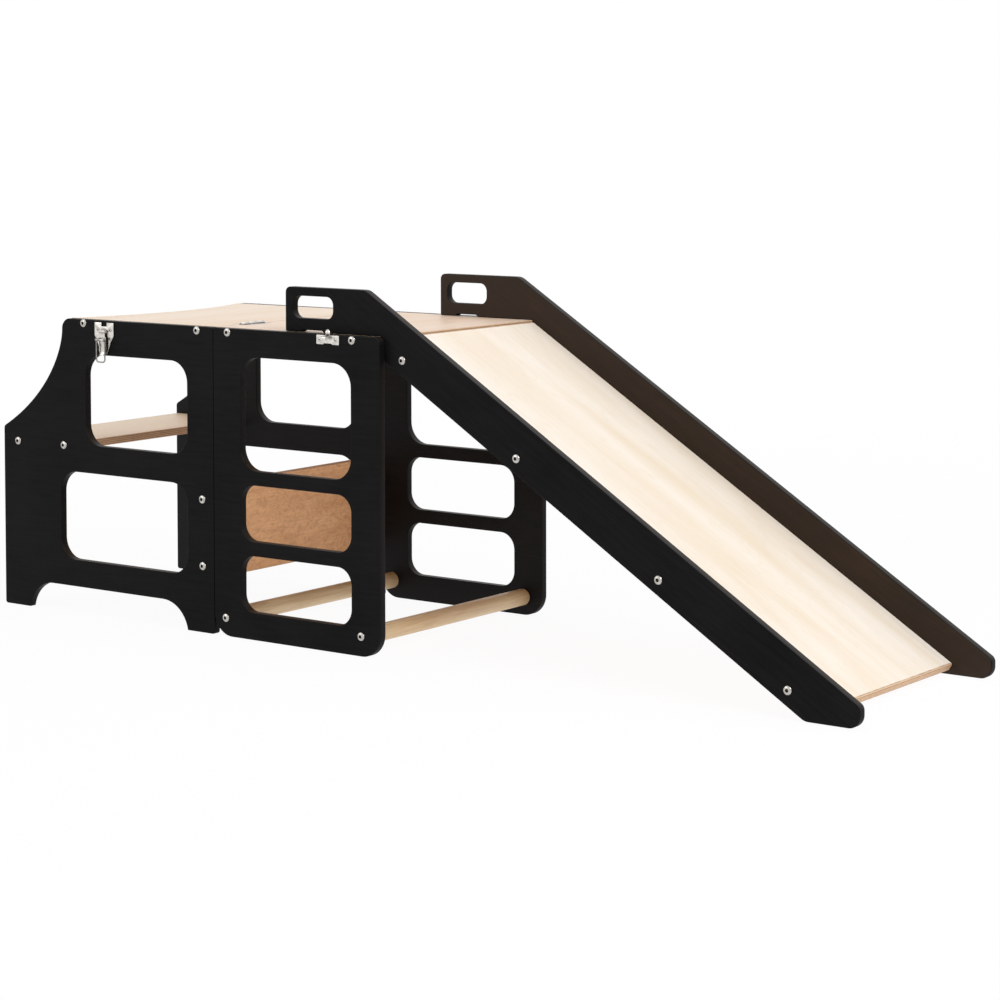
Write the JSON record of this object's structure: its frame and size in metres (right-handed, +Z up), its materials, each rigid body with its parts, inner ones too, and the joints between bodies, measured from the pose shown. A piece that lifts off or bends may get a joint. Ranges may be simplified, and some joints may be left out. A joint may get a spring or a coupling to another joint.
{
  "type": "learning tower with slide",
  "caption": "Toddler step tower folded out as a low table, black side panels with light plywood boards, with a slide hooked over its edge.",
  "frame": {"origin": "on the floor, below the centre of the whole object", "axes": "+Z up, +X along the length from the step end to the foot of the slide, +Y to the left when looking down the slide"},
  "size_m": [1.4962, 0.4242, 0.514],
  "materials": {
    "black_panel": "black satin coating on plywood",
    "birch_ply": "clear lacquered birch plywood",
    "dowel_wood": "clear lacquered solid wood",
    "nickel_hardware": "bright nickel plate on steel"
  },
  "bodies": {
    "base": {"base_side_right": "black_panel", "base_side_left": "black_panel", "base_top_board": "birch_ply", "base_step_board": "birch_ply", "base_cross_board": "birch_ply", "hinge_leaf_base_right": "nickel_hardware", "hinge_leaf_base_left": "nickel_hardware", "hinge_pin_right": "nickel_hardware", "hinge_pin_left": "nickel_hardware", "latch_plate_right": "nickel_hardware", "latch_plate_left": "nickel_hardware", "latch_lever_pin_right": "nickel_hardware", "latch_lever_pin_left": "nickel_hardware"},
    "guard_frame": {"frame_side_right": "black_panel", "frame_side_left": "black_panel", "frame_table_board": "birch_ply", "frame_dowel_seam": "dowel_wood", "frame_dowel_end": "dowel_wood", "hinge_leaf_frame_right": "nickel_hardware", "hinge_leaf_frame_left": "nickel_hardware", "keeper_right": "nickel_hardware", "keeper_left": "nickel_hardware"},
    "slide": {"slide_rail_right": "black_panel", "slide_rail_left": "black_panel", "slide_board": "birch_ply"},
    "latch_lever_right": {"latch_lever_right": "nickel_hardware", "latch_bail_pin_right": "nickel_hardware"},
    "latch_bail_right": {"latch_bail_right": "nickel_hardware"},
    "latch_lever_left": {"latch_lever_left": "nickel_hardware", "latch_bail_pin_left": "nickel_hardware"},
    "latch_bail_left": {"latch_bail_left": "nickel_hardware"}
  },
  "joints": [
    {"name": "fold", "type": "hinge", "parent": "base", "child": "guard_frame", "pos_m": [-0.3107, 0, 0.4502], "axis": [0, -1, 0], "range_deg": [0, 180]},
    {"name": "slide_lift", "type": "hinge", "parent": "base", "child": "slide", "pos_m": [0.7481, 0, 0], "axis": [0, 1, 0], "range_deg": [0, 90]},
    {"name": "latch_lever_right_swing", "type": "hinge", "parent": "base", "child": "latch_lever_right", "pos_m": [-0.5292, -0.2055, 0.434], "axis": [-1, 0, 0], "range_deg": [0, 150]},
    {"name": "latch_bail_right_swing", "type": "hinge", "parent": "latch_lever_right", "child": "latch_bail_right", "pos_m": [-0.5292, -0.2095, 0.4215], "axis": [-1, 0, 0], "range_deg": [-150, 0]},
    {"name": "latch_lever_left_swing", "type": "hinge", "parent": "base", "child": "latch_lever_left", "pos_m": [-0.5292, 0.2055, 0.434], "axis": [1, 0, 0], "range_deg": [0, 150]},
    {"name": "latch_bail_left_swing", "type": "hinge", "parent": "latch_lever_left", "child": "latch_bail_left", "pos_m": [-0.5292, 0.2095, 0.4215], "axis": [1, 0, 0], "range_deg": [-150, 0]}
  ],
  "couplings": [
    {"joint": "slide_lift", "follows": "fold", "ratio": 0.5},
    {"joint": "latch_bail_right_swing", "follows": "latch_lever_right_swing", "ratio": -1},
    {"joint": "latch_bail_left_swing", "follows": "latch_lever_left_swing", "ratio": -1}
  ]
}
